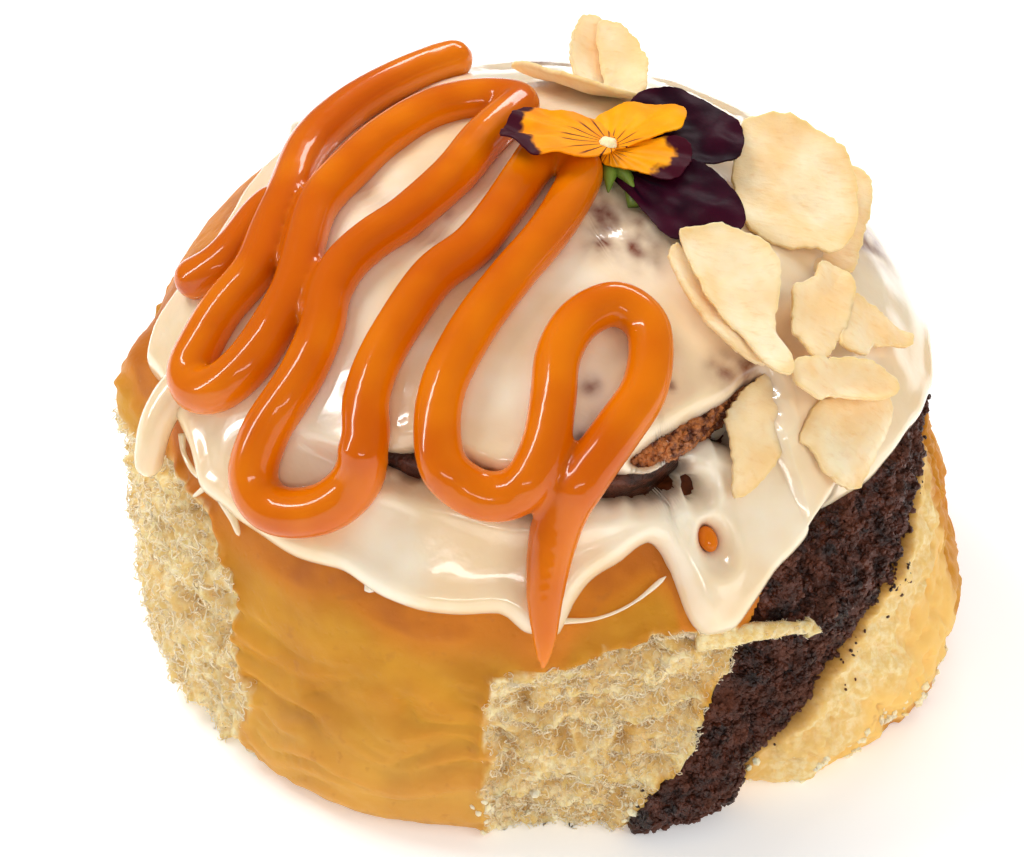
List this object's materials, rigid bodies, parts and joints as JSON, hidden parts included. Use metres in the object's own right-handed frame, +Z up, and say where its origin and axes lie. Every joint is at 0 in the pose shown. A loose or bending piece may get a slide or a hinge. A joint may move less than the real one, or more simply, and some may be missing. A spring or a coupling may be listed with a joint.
{
  "type": "iced cinnamon roll",
  "caption": "Round coiled bun with pulled-apart crumb sides, dark filling, poured icing, caramel drizzle, flaked almonds and an edible flower on top.",
  "frame": {"origin": "centre of the flat base, on the axis of the coil", "axes": "+Z up out of the crown; -Y is the front, where the icing has parted over the open seam and the torn side shows; +X to the right of the front, the side where the outer coil's tail ends"},
  "size_m": [0.099, 0.0998, 0.0731],
  "materials": {
    "bread": "matt baked crust, golden, with pale torn crumb",
    "cocoa_filling": "sticky and crumbly, near black brown",
    "icing": "glossy ivory, slightly translucent",
    "caramel": "wet gloss, deep orange brown, slightly translucent",
    "almond": "satin ivory, thin and slightly translucent",
    "yellow_petal": "velvety petal, yellow with dark veins",
    "purple_petal": "velvety petal, very dark purple",
    "green_calyx": "fresh green stem"
  },
  "bodies": {
    "root": {"filling": "cocoa_filling", "bun": "bread", "icing": "icing", "caramel_drizzle": "caramel", "caramel_tail": "caramel", "flower_eye": "yellow_petal", "flower_calyx": "green_calyx", "petal_lower": "yellow_petal", "petal_side_back": "yellow_petal", "petal_side_front": "yellow_petal", "petal_upper_back": "purple_petal", "petal_upper_front": "purple_petal", "flake_big": "almond", "flake_big_under": "almond", "flake_crown": "almond", "flake_upright_left": "almond", "flake_upright_right": "almond", "flake_curled": "almond", "flake_sliver": "almond", "flake_shard": "almond", "flake_shard_outer": "almond", "flake_level": "almond", "flake_leaf": "almond", "flake_sunk": "almond"}
  },
  "joints": []
}
